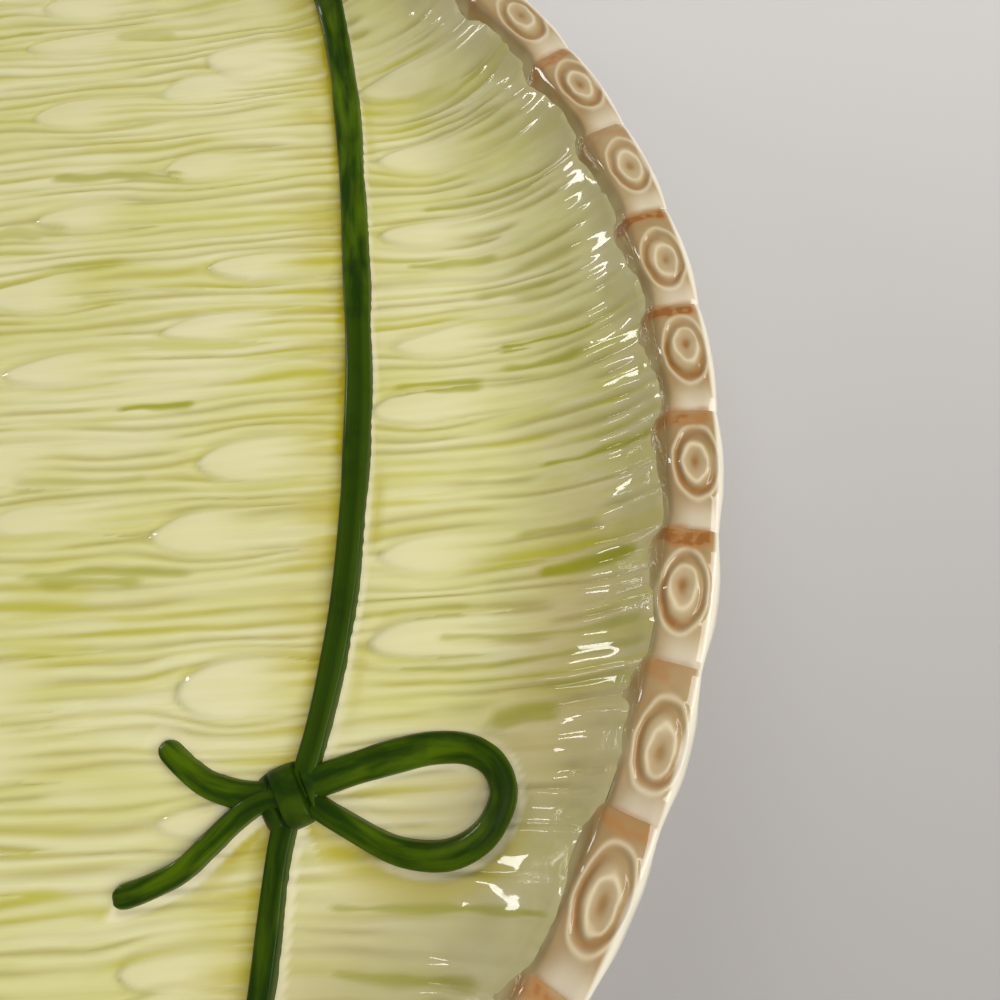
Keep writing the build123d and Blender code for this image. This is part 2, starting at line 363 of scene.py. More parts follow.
class Sock:  # one shader socket; arithmetic on it adds Math nodes
    def __init__(self, tree, out=None):
        self.tree, self.out = tree, out

    def node(self, kind, settings=None, inputs=None, out=0):
        made = self.tree.nodes.new(kind)
        for key, value in (settings or {}).items():
            setattr(made, key, value)
        for key, value in (inputs or {}).items():
            if isinstance(value, Sock):
                self.tree.links.new(value.out, made.inputs[key])
            else:
                made.inputs[key].default_value = value
        return Sock(self.tree, made.outputs[out])

    def calc(self, operation, first, second):
        return self.node("ShaderNodeMath", {"operation": operation}, {0: first, 1: second})

    def __add__(self, other):
        return self.calc("ADD", self, other)

    def __radd__(self, other):
        return self.calc("ADD", other, self)

    def __rsub__(self, other):
        return self.calc("SUBTRACT", other, self)

    def __mul__(self, other):
        return self.calc("MULTIPLY", self, other)

    def __rmul__(self, other):
        return self.calc("MULTIPLY", other, self)

    def field(self, name):  # painted field of the piece
        return self.node("ShaderNodeAttribute", {"attribute_name": name}, out="Fac")

    def span(self, low, high):  # 0 below low, 1 above high, smooth between
        return self.node("ShaderNodeMapRange", {"interpolation_type": "SMOOTHSTEP"},
                         {"Value": self, "From Min": low, "From Max": high})

    def tint(self, base, paint):  # this mask lays paint over base
        inputs = {0: self, 6: base, 7: paint}
        return self.node("ShaderNodeMix", {"data_type": "RGBA", "clamp_factor": True}, inputs, 2)

    def where(self, stretch=(1, 1, 1)):  # object position in mm, stretched
        spot = self.node("ShaderNodeTexCoord", out="Object")
        scale = tuple(1000 * k for k in stretch)
        return self.node("ShaderNodeMapping", {}, {"Vector": spot, "Scale": scale})

    def cloud(self, spot, size, detail=3.0):  # noise with bumps of that size in mm
        return self.node("ShaderNodeTexNoise", {}, {"Vector": spot, "Scale": 1 / size, "Detail": detail})


# what all glazes share: duller patches, a thin clear coat and a sagging surface
glazeLook = {
    "patch": 14,
    "patchRough": 0.12,
    "specular": 0.12,
    "coatRough": 0.04,
    "sag": 5.5,
    "sagDeep": 0.0004,
}


def glaze(name, paint, roughness=0.3, coat=0.9, wobble=0.25):
    material = bpy.data.materials.new(name)
    material.use_nodes = True
    tree = material.node_tree
    shader = tree.nodes["Principled BSDF"]
    start = Sock(tree)
    tree.links.new(paint(start).out, shader.inputs["Base Color"])
    patches = start.cloud(start.where(), glazeLook["patch"])
    uneven = roughness + glazeLook["patchRough"] * patches.span(0.5, 0.8)
    tree.links.new(uneven.out, shader.inputs["Roughness"])
    shader.inputs["Specular IOR Level"].default_value = glazeLook["specular"]
    shader.inputs["Coat Weight"].default_value = coat
    shader.inputs["Coat Roughness"].default_value = glazeLook["coatRough"]
    sag = start.cloud(start.where(), glazeLook["sag"], 2.0)
    inputs = {"Strength": wobble, "Distance": glazeLook["sagDeep"], "Height": sag}
    bump = start.node("ShaderNodeBump", {}, inputs)
    tree.links.new(bump.out, shader.inputs["Normal"])
    return material


def specks(start, base, tint, size, amount):  # small iron specks in the glaze
    inputs = {"Vector": start.where(), "Scale": 1 / size, "Randomness": 1.0}
    cells = start.node("ShaderNodeTexVoronoi", {}, inputs)
    keep = start.cloud(start.where(), size * 1.7, 0.0).span(0.72, 0.76)
    return ((1 - cells.span(amount * 0.5, amount)) * keep).tint(base, tint)


def paintSpear(start):
    broad = start.cloud(start.where((0.4, 1, 1)), 16).span(0.35, 0.65)
    colour = broad.tint(srgb(222, 217, 170), srgb(213, 209, 146))
    fine = start.cloud(start.where((0.06, 1, 0.4)), 1.6).span(0.42, 0.7)
    colour = (fine * 0.45).tint(colour, srgb(202, 198, 112))
    colour = (start.field("leaf") * 0.6).tint(colour, srgb(224, 217, 172))
    colour = (start.field("pool") * 0.7).tint(colour, srgb(172, 162, 82))
    # darker, warmer tint on part of the right wall: partly glaze colour, partly painted shade
    colour = (start.field("warmShade") * 0.5).tint(colour, srgb(186, 164, 98))
    colour = (start.field("near") * 0.6).tint(colour, srgb(202, 190, 146))
    colour = (start.field("streak") * 0.85).tint(colour, srgb(188, 184, 50))
    colour = (start.field("wash") * 0.85).tint(colour, srgb(182, 168, 28))
    colour = (start.field("stroke") * 0.9).tint(colour, srgb(156, 155, 16))
    colour = start.field("halo").tint(colour, srgb(234, 226, 190))
    return specks(start, colour, srgb(92, 84, 52), 9.0, 0.05)


def paintCutEnd(start):
    broad = start.cloud(start.where(), 7).span(0.35, 0.7)
    colour = broad.tint(srgb(178, 156, 114), srgb(161, 134, 88))
    colour = (start.field("tan") * 0.8).tint(colour, srgb(168, 138, 91))
    colour = start.field("tone").tint(colour, srgb(122, 92, 52))
    patch = start.cloud(start.where(), 2.4).span(0.3, 0.65)
    colour = (start.field("ring") * (0.55 + 0.45 * patch)).tint(colour, srgb(148, 103, 48))
    thin = start.cloud(start.where(), 1.3).span(0.25, 0.6)
    colour = start.field("ridge").tint(colour, srgb(213, 197, 161))
    colour = start.field("cream").tint(colour, srgb(230, 222, 200))
    brush = start.field("brush") * (0.65 + 0.35 * thin)
    colour = brush.tint(colour, srgb(168, 114, 58))
    colour = (brush.span(0.7, 0.95) * 0.7).tint(colour, srgb(138, 84, 34))
    return (start.field("wall") * 0.6).tint(colour, srgb(202, 190, 146))


def paintCream(start):
    broad = start.cloud(start.where(), 30).span(0.35, 0.7)
    colour = broad.tint(srgb(233, 226, 206), srgb(226, 216, 190))
    return specks(start, colour, srgb(150, 130, 96), 14.0, 0.04)


def paintTie(start):
    spot = {"X": start.field("run") * 0.7, "Y": start.field("side") * 1.1}
    run = start.node("ShaderNodeCombineXYZ", {}, spot)
    strokes = start.node("ShaderNodeTexNoise", {}, {"Vector": run, "Scale": 1.0, "Detail": 4.0})
    patch = start.cloud(start.where(), 9)
    colour = strokes.span(0.36, 0.7).tint(srgb(30, 54, 0), srgb(72, 96, 0))
    colour = (patch.span(0.5, 0.75) * 0.6).tint(colour, srgb(20, 40, 2))
    colour = start.field("shade").tint(colour, srgb(18, 40, 2))
    edge = start.field("edge").span(0.8, 1.0)
    return (edge * 0.35).tint(colour, srgb(80, 100, 16))


def paintFoot(start):
    colour = start.cloud(start.where(), 12).span(0.35, 0.7).tint(srgb(231, 223, 202), srgb(222, 211, 184))
    rise = start.node("ShaderNodeSeparateXYZ", {}, {"Vector": start.where()}, "Z")
    bare = 1 - (rise + 0.5 * start.cloud(start.where(), 3)).span(0.75, 1.1)
    clay = start.cloud(start.where(), 0.8).span(0.3, 0.7).tint(srgb(196, 172, 138), srgb(180, 152, 116))
    return bare.tint(colour, clay)


spearGlaze = glaze("spear glaze", paintSpear)
cutEndGlaze = glaze("cut end glaze", paintCutEnd)
creamGlaze = glaze("cream glaze", paintCream)
tieGlaze = glaze("green glaze", paintTie, 0.4, 0.22, 0.15)
footGlaze = glaze("foot glaze", paintFoot, 0.4, 0.6)
print("glazes mixed")

# brush strokes in the grooves: from x, y to x, y in mm, width, strength
olive = {
    "strokes": [
        (107.3, 48.9, 127.0, 44.1, 0.9, 0.8), (103.8, 34.4, 118.1, 32.2, 1.0, 0.7),
        (120.5, 15.0, 135.9, 12.7, 0.7, 1.0), (101.0, 4.8, 113.9, 6.2, 1.3, 0.8),
        (126.9, -11.5, 142.5, -10.6, 0.9, 0.9), (122.5, -21.8, 132.4, -24.8, 0.9, 0.6),
        (125.4, -30.2, 137.9, -30.5, 1.1, 1.0), (98.4, -35.2, 110.1, -35.0, 1.0, 0.5),
        (108.0, -39.2, 136.3, -42.7, 0.8, 0.6), (100.5, -43.3, 136.3, -46.5, 0.9, 0.6),
        (124.5, -49.9, 133.4, -48.3, 1.5, 0.5), (116.6, -54.0, 123.6, -53.7, 1.3, 0.7),
        (90.9, -79.7, 120.4, -78.4, 1.1, 0.7), (90.7, -88.2, 110.1, -86.8, 1.1, 0.6),
        (48.8, 6.6, 60.2, 6.9, 1.1, 1.0), (122.0, 9.5, 132.0, 8.4, 1.8, 0.7),
        (118.0, 26.0, 128.0, 24.0, 1.6, 0.6),
    ],
    "extra": 110,
    "reach": 135,
}


def allStrokes():  # the listed strokes, and more outside the photo
    rng = np.random.RandomState(31)
    strokes = list(olive["strokes"])
    for _ in range(olive["extra"]):
        sx, sy = (rng.uniform(-olive["reach"], olive["reach"]) for _ in range(2))
        if sx > 40 and abs(sy) < 100:
            continue
        ex, ey = sx + rng.uniform(7, 26), sy + rng.uniform(-1, 1)
        strokes.append((sx, sy, ex, ey, rng.uniform(0.8, 1.5), rng.uniform(0.3, 0.8)))
    return np.array(strokes)


strokeLines = allStrokes()
strokeX = (strokeLines[:, 0] + strokeLines[:, 2]) / 2
strokeY = (strokeLines[:, 1] + strokeLines[:, 3]) / 2
strokeRibs = spearRelief(strokeX, strokeY)[3]


def strokeField(x, y, q):  # each stroke keeps to the rib line at its middle
    field = np.zeros_like(x)
    for (x0, y0, x1, y1, width, strength), rib in zip(strokeLines, strokeRibs):
        if min(y0, y1) > y.max() + 6 or max(y0, y1) < y.min() - 6:
            continue
        near = (y0 + y1) / 2 + (y1 - y0) * np.clip((x - x0) / (x1 - x0) - 0.5, -0.5, 0.5)
        off = np.hypot((x - np.clip(x, x0, x1)) / 2, q - rib + 0.3 * drift(x / 4, y / 30, 32))
        thick = width * (0.8 + 0.5 * drift(x / 5, q / 3, 33))
        ink = strength * (1 - ease(0.3 * thick, 1.35 * thick, off))
        field = np.maximum(field, ink * (1 - ease(2, 4, np.abs(y - near))))
    return field


def tieWash(x, y, q, leaf):  # olive wash beside the tie and below the bow, pale line right of the straps
    gap, ux, uy = strapField(x, y, strapLines)
    tieGap, tieX, tieY = strapField(x, y, ("tieUpper", "tieLower"))
    tailGap = strapField(x, y, ("tailUpper", "loop"))[0]
    groove = 0.3 + 0.7 * ease(-0.25, 0.35, drift(x / 15, q / 1.1, 41))
    leftSide = ease(-0.1, 0.6, -tieX - 0.35 * tieY) * ease(0.3, 2.4, tailGap)
    patchy = 0.35 + 0.65 * ease(-0.3, 0.3, drift(x / 20, y / 8, 45))
    spread = 0.7 * groove * (1 - ease(1, 13, tieGap)) * (1 - 0.7 * leaf)
    wash = (patchy * np.exp(-((tieGap - 0.3) / 1.1) ** 2) + spread) * leftSide
    patch = ease(-0.1, 0.4, drift(x / 12, y / 9, 44)) * ease(0.3, 0.8, tieX) * ease(-58, -48, y)
    wash = np.maximum(wash, 0.6 * patch * np.exp(-((tieGap - 1.9) / 1.0) ** 2))
    bowSide = ease(0.2, 0.8, -uy) * ease(-14, -6, -np.abs(y + 74)) * ease(66, 74, x)
    wash = np.maximum(wash, bowSide * np.exp(-((gap - 1.4) / 2.2) ** 2) * (0.5 + 0.5 * groove))
    halo = 0.75 * ease(0.1, 0.5, 0.8 * ux - 0.6 * uy) * (1 - ease(0.4, 1.0, gap))
    halo = np.maximum(halo, 0.3 * (1 - ease(0.3, 1.0, tailGap)) * ease(-0.4, 0.2, uy))
    return wash, halo


def wallTint(x, y, r):  # darker, warmer part of the right wall, partly warmer glaze and partly painted shade, and paler parts at the cut ends and low down
    warmShade = ease(120, 134, r) * ease(-25, 45, -y) * (1 - ease(58, 80, -y)) * ease(20, 60, x)
    lowWall = 0.95 * ease(110, 124, r) * ease(50, 72, -y)
    near = np.maximum(ease(-7, -0.5, r - padEdge(y / plate["pitch"])), lowWall) * ease(0, 40, x)
    return warmShade, near


def ribStreak(x, y, q, pool, leaf):  # greener streaks along the ribs
    streak = ease(0.1, 0.6, drift(x / 20, q / 1.5, 42)) * (1 - leaf) * (0.35 + 0.65 * pool)
    return streak * (0.45 + 0.55 * ease(-0.2, 0.4, drift(x / 35, y / 20, 43)))


def makeSpears():
    s = plate["pitch"]
    for number in range(plate["spears"]):
        spot = plate["outermost"] - number
        widest = math.sqrt(plate["spearEnd"] ** 2 - (max(abs(spot) - 0.5, 0) * s) ** 2)
        piece = toPiece(f"spear_{number + 1:02d}", slab(int(2 * widest / bed["grain"]), bed["rows"]))
        u, v, top = readPoints(piece.data).T
        y = (spot + v / 2) * s
        x = u * np.sqrt(plate["spearEnd"] ** 2 - y ** 2)
        r = np.hypot(x, y)
        height, pool, leaf, q = spearRelief(x, y)
        z = lift(r, np.where(top > 0.5, height, bed["under"]))
        wash, halo = tieWash(x, y, q, leaf)
        warmShade, near = wallTint(x, y, r)
        paints = {
            "pool": pool, "leaf": leaf, "streak": ribStreak(x, y, q, pool, leaf), "wash": wash, "halo": halo,
            "stroke": strokeField(x, y, q), "warmShade": warmShade, "near": near,
        }
        shapePiece(piece, x, y, z, paints)
        place(piece, f"stalk_{number + 1:02d}", "spear_glaze", spearGlaze)


makeSpears()
print("spears laid")

# cut ends: pads on the right rim with growth rings
cutEnd = {
    "sunk": 0.2,
    "step": 0.75,
    "shoulder": 1.1,
    "crown": 153.2,
    "outer": 154.8,
    "outerLow": 2.0,
    "bend": 151.9,
    "bendSlope": 0.47,
    "endDip": 0.6,
    "crownDip": 0.25,
    "climb": 2.4,
    "ringDepth": 0.36,
    "ringHeight": 0.18,
    "ringWide": 3.35,
    "ringShare": 0.58,
    "ringMost": 6.8,
    "grid": (88, 64),
    "ringSpots": {4: (-0.8, -0.05), 3: (0.4, 0.3), 2: (-0.1, 0.35), 1: (-0.8, -0.15), 0: (0.9, -0.05),
                  -1: (0.75, 0.1), -2: (0.3, -0.7), -3: (-0.7, 0.45), -4: (0.75, 0.2)},
    "ringTone": {4: 0.8, 3: 0.9, 2: 0.7, 1: 0.8, 0: 1.35, -1: 1.3, -2: 1.1, -3: 0.8, -4: 0.85},
    "tone": {0: 0.15, -1: 0.3, -3: 0.2, -4: 0.28},
    "brushed": {4: 0.7, 3: 0.8, 2: 0.4, 1: 1.0, 0: 1.0, -1: 0.9, -2: 1.0, -3: 0.5, -4: 0.7},
}
rim = {"notchDepth": 0.6, "notchHalf": 8.0, "waver": 0.2}  # wavy outline, shared with the dish's lip


def rimNotch(angle):  # 1 between two cut ends or tips, 0 at their middles
    turned = np.abs(angle)
    around = np.where(turned > math.pi / 2, math.pi - turned, turned) * np.sign(angle + 1e-9)
    notch = np.zeros_like(angle)
    for step in range(plate["spears"] + 1):
        away = np.abs(around - rimAngle(step - plate["spears"] / 2)) * plate["padMiddle"]
        notch = np.maximum(notch, 0.5 + 0.5 * np.cos(math.pi * np.clip(away / rim["notchHalf"], 0, 1)))
    return notch


def rimPull(angle):  # how far the outline draws in
    return rim["notchDepth"] * rimNotch(angle) + rim["waver"] * (1 + drift(angle * 12, angle * 0, 231))


def ovalRings(ta, tb, ringLong, rng):  # growth rings: outer ridge, groove, inner ridge, pit
    ring = np.hypot(ta / ringLong, tb / cutEnd["ringWide"]) + 0.04 * drift(ta / 2, tb / 2, rng.randint(1000))
    coreA, coreB = rng.uniform(-1.1, 1.1), rng.uniform(-0.3, 0.3)
    core = np.hypot((ta - coreA) / ringLong, (tb - coreB) / cutEnd["ringWide"])
    core = core + 0.06 * drift(ta / 1.5, tb / 1.2, rng.randint(1000))
    return [np.exp(-((field - spot) / wide) ** 2) for field, spot, wide in
            ((ring, 1.07, 0.08), (ring, 0.85, 0.12), (core, 0.54, 0.085), (core, 0.0, 0.24))]


def padHeight(number, u, r, edge, outer, tang, rings):  # from the wall over the flat face to the lip
    ridge, groove, inner, pit = rings
    slope = lift(r, spearCrown(u) - cutEnd["sunk"] + cutEnd["step"] * ease(0, cutEnd["climb"], r - edge))
    flat = plate["padTop"] - 0.1 - cutEnd["endDip"] * np.power(np.abs(u), 7)
    flat = flat - cutEnd["crownDip"] * np.power(np.abs(u), 2.5)
    z = (slope + flat - np.sqrt((slope - flat) ** 2 + cutEnd["shoulder"] ** 2)) / 2
    z = z - cutEnd["ringDepth"] * (groove + 0.8 * pit) + cutEnd["ringHeight"] * (ridge + inner)
    z = z + 0.15 * drift(tang / 6, (r - plate["padMiddle"]) / 4, 90 + number) * ease(1, 3, r - edge)
    past = r - cutEnd["bend"]  # slanted band along the lip
    z = z - cutEnd["bendSlope"] * (0.5 * (past + np.sqrt(past ** 2 + 0.09)))
    fall = np.sqrt(1 - np.clip((r - cutEnd["crown"]) / (outer - cutEnd["crown"]), 0, 1) ** 2.2)
    foot = plate["land"] + cutEnd["outerLow"]
    return foot + (z - foot) * np.where(r > cutEnd["crown"], fall, 1)


def brushBar(number, inward, tang, rad, length, loaded, loadedNext):  # brown bar along the upper gap
    away = length - tang + 0.5 * drift(rad / 2.2, tang / 6, 320 + number)
    wide = 1.55 + 0.55 * drift(rad / 1.6, tang / 9, 340 + number)
    brush = 1 - ease(0.4 * wide, 1.3 * wide, np.abs(away - 1.5 + 0.4 * ease(0, 3, rad)))
    across = ease(0.3, 1.4, inward) * (1 - ease(2.2, 3.4, rad))
    smear = 0.55 * (1 - ease(0.3, 1.3, np.abs(inward - 1.2))) * (1 - ease(2, 7, away))
    brush = np.maximum(brush * across, smear) * loaded
    below = 1 - ease(0.0, 0.8, length + tang + 0.3 * drift(rad / 1.5, tang / 6, 320 + number))
    gaps = (1 - loaded ** 3) * (1 - ease(-0.6, 0.1, drift(rad / 1.7, tang / 1.3, 360 + number)))
    brush = brush * (1 - 0.7 * gaps)
    return np.maximum(brush, 0.7 * below * across * loadedNext)


def makeCutEnds():
    for number in range(plate["spears"]):
        spot = plate["outermost"] - number
        low, high = rimAngle(spot - 0.5), rimAngle(spot + 0.5)
        rng = np.random.RandomState(60 + number)
        piece = toPiece(f"cut_{number + 1:02d}", slab(*cutEnd["grid"]))
        u, v, top = readPoints(piece.data).T
        v = 0.6 * np.sin(v * math.pi / 2) + 0.4 * v
        half = (high - low) / 2 + 0.03 / plate["padMiddle"]
        angle = (low + high) / 2 + u * half
        edge, outer = padEdge(spot + u / 2), cutEnd["outer"] - rimPull(angle)
        r = edge + (v + 1) / 2 * (outer - edge)
        tang, rad = u * half * plate["padMiddle"], r - plate["padMiddle"]
        length = half * plate["padMiddle"]
        ringLong = min(length * cutEnd["ringShare"], cutEnd["ringMost"])
        ca, cb = cutEnd["ringSpots"].get(spot, (rng.uniform(-0.5, 0.5), rng.uniform(-0.2, 0.3)))
        ta, tb = tang - ca + rng.uniform(-0.12, 0.12) * rad, rad - cb
        rings = ovalRings(ta, tb, ringLong, rng)
        ridge, groove, inner, pit = rings
        floor = np.where(r < plate["padInner"] + 0.2, plate["land"] - 0.8, plate["land"] + plate["bedded"])
        z = np.where(top > 0.5, padHeight(number, u, r, edge, outer, tang, rings), floor)
        loaded = cutEnd["brushed"].get(spot, rng.uniform(0.4, 1.0))
        loadedNext = cutEnd["brushed"].get(spot - 1, 0.6)
        within = np.hypot(ta / ringLong, tb / cutEnd["ringWide"])
        within = (1 - ease(0.5, 0.75, within)) * (1 - pit)
        lower = 0.55 * ease(0.45, 0.95, -u) * ease(-4, 0, rad)
        side = 0.6 + 0.4 * np.cos(np.arctan2(tb, ta) + 2.4)
        paints = {
            "tone": cutEnd["tone"].get(spot, 0.1) * (1 - lower),
            "ring": np.clip((groove * side + pit) * cutEnd["ringTone"].get(spot, 0.9), 0, 1),
            "brush": brushBar(number, r - edge, tang, rad, length, loaded, loadedNext),
            "ridge": np.clip(0.7 * ridge + 0.7 * inner + 0.35 * within, 0, 1),
            "tan": (1 - ease(1.5, 5.5, r - edge)) * ease(-0.9, 0.3, u),
            "cream": np.maximum(ease(2.9, 3.7, rad), lower),
            "wall": 1 - ease(0.1, 2.0, r - edge + 0.6 * drift(tang / 3, rad, 140 + number)),
        }
        shapePiece(piece, r * np.cos(angle), r * np.sin(angle), z, paints)
        place(piece, f"cut_end_{number + 1:02d}", "cut_end_glaze", cutEndGlaze)


makeCutEnds()
print("cut ends set")

# spear tips: pointed buds on the left rim, with overlapping scales
tipBud = {
    "over": 1.4,
    "low": 1.8,
    "topDrop": 0.5,
    "gap": 0.35,
    "taper": 0.8,
    "scaleHeight": 0.8,
    "scaleRow": 2.5,
    "scalePitch": 3.6,
    "grid": (48, 48),
}


def makeTips():
    for number in range(plate["spears"]):
        spot = plate["outermost"] - number
        low, high = rimAngle(spot - 0.5), rimAngle(spot + 0.5)
        piece = toPiece(f"tip_{number + 1:02d}", slab(*tipBud["grid"]))
        u, v, top = readPoints(piece.data).T
        share = (v + 1) / 2
        narrow = np.sqrt(np.clip(1 - tipBud["taper"] * share ** 2.6, 0, 1))
        half = ((high - low) / 2 - tipBud["gap"] / plate["padMiddle"]) * narrow
        angle = math.pi - (low + high) / 2 + u * half
        start = plate["padInner"] - tipBud["over"]
        r = start + share * (plate["padOuter"] - start - 0.1) * (1 - 0.1 * share * u ** 2)
        tang = u * half * plate["padMiddle"]
        rad = r - plate["padInner"]
        face = roundOff(u, 5) * np.where(v > 0, roundOff(v, 6), 1 - 0.25 * v ** 4)
        row = rad / tipBud["scaleRow"] + 0.5 * np.abs(tang) / tipBud["scalePitch"]
        shift = np.where(np.floor(row) % 2 > 0, tipBud["scalePitch"] / 2, 0)
        scale = row % 1
        mid = np.abs(((tang + shift) / tipBud["scalePitch"] + 0.5) % 1 - 0.5) * 2
        step = tipBud["scaleHeight"] * (1 - scale) * (1 - 0.5 * mid ** 2)
        full = plate["padTop"] - plate["land"] - tipBud["low"] - tipBud["topDrop"]
        rise = tipBud["low"] + full * face + step * face
        floor = np.where(r < plate["padInner"] + 0.3, plate["land"] - 0.3, plate["land"] + plate["bedded"])
        z = np.where(top > 0.5, plate["land"] + rise, floor)
        pool = np.clip(ease(0.75, 1.0, scale) + ease(0.75, 1.0, mid) * 0.5, 0, 1)
        ends = 1 - ease(0.3, 1.2, (1 - np.abs(u)) * half * plate["padMiddle"])
        paints = {
            "pool": np.maximum(pool * 0.8, ends), "streak": np.full_like(u, 0.5), "wash": 0.3 * (1 - scale),
            "stroke": np.maximum(0.7 * ends, 0.5 * pool), "leaf": np.zeros_like(u), "halo": np.zeros_like(u),
        }
        shapePiece(piece, r * np.cos(angle), r * np.sin(angle), z, paints)
        place(piece, f"spear_tip_{number + 1:02d}", "tip_glaze", spearGlaze)


makeTips()
print("tips set")

# side spears: one spear along each flank of the rim
flank = {
    "pieces": (("flank_far", "side_stalk_far", 0.0), ("flank_near", "side_stalk_near", math.pi)),
    "over": 1.2,
    "low": 2.0,
    "topDrop": 0.5,
    "gap": 0.7,
    "endStart": 0.93,
    "ribHeight": 0.3,
    "ribPitch": 1.5,
    "leafPitch": 24,
    "leafLift": 0.4,
    "grid": (300, 48),
}


def makeFlanks():
    for name, node, turn in flank["pieces"]:
        piece = toPiece(name, slab(*flank["grid"]))
        u, v, top = readPoints(piece.data).T
        side = math.radians(plate["sideAngle"])
        half = math.pi / 2 - side - flank["gap"] / plate["padMiddle"]
        ends = np.clip((np.abs(u) - flank["endStart"]) / 0.07, 0, 1)
        out = v * np.sqrt(np.clip(1 - ends ** 2 * 0.7, 0.05, 1))
        angle = math.pi / 2 + turn + u * half
        wide = plate["padOuter"] - plate["padInner"]
        r = plate["padMiddle"] + out * wide / 2 - flank["over"] * (1 - out) / 2
        tang, rad = u * half * plate["padMiddle"], out * 3.8
        face = roundOff(v, 3.2) * roundOff(u, 60)
        q = rad + 0.5 * drift(tang / 14, rad / 3, 171)
        wave = np.abs(np.sin(math.pi * q / flank["ribPitch"]))
        leafSpot = (tang / flank["leafPitch"] + 0.3) % 1
        broad = 0.62 * np.sqrt(np.clip(leafSpot / 0.35, 0, 1))
        leaf = (1 - ease(broad - 0.2, broad, np.abs(v))) * (1 - ease(0.3, 0.8, leafSpot))
        rise = flank["low"] + (plate["padTop"] - plate["land"] - flank["low"] - flank["topDrop"]) * face
        rise = rise + flank["ribHeight"] * (wave - 0.6) * (1 - leaf) + flank["leafLift"] * leaf
        floor = np.where(r < plate["padInner"] + 0.2, plate["land"] - 0.3, plate["land"] + plate["bedded"])
        z = np.where(top > 0.5, plate["land"] + rise, floor)
        pool = (1 - wave) * (1 - leaf)
        bare = np.zeros_like(u)
        paints = {
            "pool": pool, "leaf": leaf, "streak": 0.5 * pool, "wash": bare, "stroke": bare, "halo": bare,
        }
        shapePiece(piece, r * np.cos(angle), r * np.sin(angle), z, paints)
        place(piece, node, "spear_glaze", spearGlaze)


makeFlanks()
print("flanks set")


def makeStrap(name, node, key, widths, roundStart=False, roundEnd=False, raised=0.0):
    line, length = strapCurves[key]
    piece = toPiece(name, slab(int(length / bow["grain"]), bow["rows"]))
    u, v, top = readPoints(piece.data).T
    run = (u + 1) / 2 * length
    stations = np.linspace(0, length, len(line))
    cx, cy = np.interp(run, stations, line[:, 0]), np.interp(run, stations, line[:, 1])
    slope = np.gradient(line, axis=0)
    slope = slope / np.hypot(*slope.T)[:, None]
    tx, ty = np.interp(run, stations, slope[:, 0]), np.interp(run, stations, slope[:, 1])
    half = np.interp(run / length, np.linspace(0, 1, len(widths)), widths) / 2
    half = half * (1 + 0.06 * drift(run / 9, run * 0, 200 + len(name)))
    end = np.ones_like(run)
    for rounded, inward in ((roundStart, run), (roundEnd, length - run)):
        if rounded:
            short = np.clip(1 - inward / bow["round"], 0, 1)
            end = np.minimum(end, np.sqrt(np.clip(1 - short ** 2, 0.0, 1)))
    half = half * np.maximum(end, 0.04)
    x, y = cx - ty * v * half, cy + tx * v * half
    crown = roundOff(v, 7)
    high = bow["seat"] - bow["sunk"] + (bow["height"] + bow["sunk"]) * crown * (0.35 + 0.65 * end)
    high = high + 0.12 * drift(run / 6, v * 1.5, 210 + len(name))
    high = high + raised * (1 - ease(4, 14, run))
    z = lift(np.hypot(x, y), np.where(top > 0.5, high, bow["under"]))
    root = np.hypot(x - bow["knot"][0], y - bow["knot"][1])
    deep = 0.5 * (1 - ease(70, 120, root)) if key in ("tieUpper", "tieLower") else 0
    shade = np.maximum(0.6 * (1 - ease(4, 11, root)), deep)
    shapePiece(piece, x, y, z, {"run": run / 10, "side": v, "edge": np.abs(v), "shade": shade})
    place(piece, node, "green_glaze", tieGlaze)


# knot: a wrapped block with two creases
knot = {
    "long": 5.1,
    "wide": 5.0,
    "turn": 18.0,
    "sunk": 0.6,
    "height": 3.1,
    "crease": 0.55,
    "bandTurn": -65.0,
    "bandHalf": 2.0,
    "bandHeight": 0.7,
    "grid": (60, 60),
}


def makeKnot():
    piece = toPiece("knot", slab(*knot["grid"]))
    u, v, top = readPoints(piece.data).T
    a, b = u * np.sqrt(1 - 0.3 * v ** 2) * knot["long"], v * np.sqrt(1 - 0.3 * u ** 2) * knot["wide"]
    turn, band = math.radians(knot["turn"]), math.radians(knot["bandTurn"])
    x = bow["knot"][0] + a * math.cos(turn) - b * math.sin(turn)
    y = bow["knot"][1] + a * math.sin(turn) + b * math.cos(turn)
    off = -(x - bow["knot"][0]) * math.sin(band) + (y - bow["knot"][1]) * math.cos(band) - 0.2
    dome = roundOff(u, 4) * roundOff(v, 4)
    middle = 1 - ease(knot["bandHalf"] - 0.3, knot["bandHalf"] + 0.2, np.abs(off))
    crease = np.exp(-((np.abs(off) - knot["bandHalf"] - 0.25) / 0.35) ** 2)
    tall = knot["height"] - knot["sunk"] + knot["bandHeight"] * middle
    high = bow["seat"] - knot["sunk"] + tall * dome - knot["crease"] * crease * dome
    high = high + 0.12 * drift(x / 2, y / 2, 220)
    z = lift(np.hypot(x, y), np.where(top > 0.5, high, bow["under"]))
    edge = np.full_like(u, 0.6)
    shapePiece(piece, x, y, z, {"run": off / 4, "side": v, "edge": edge, "shade": 0.5 + 0.5 * crease})
    place(piece, "bow_knot", "green_glaze", tieGlaze)


makeStrap("tie_above", "tie_upper", "tieUpper", (6.3, 5.5, 5.1, 3.9), roundStart=True)
makeStrap("tie_below", "tie_lower", "tieLower", (4.0, 4.0), roundEnd=True)
makeStrap("loop", "bow_loop", "loop", (4.8, 5.5, 5.2, 4.4, 4.4, 3.8, 3.6))
makeStrap("tail_above", "bow_tail_upper", "tailUpper", (4.8, 3.5), roundEnd=True)
makeStrap("tail_below", "bow_tail_lower", "tailLower", (3.4, 3.9), roundEnd=True, raised=0.5)
makeKnot()
print("bow tied")


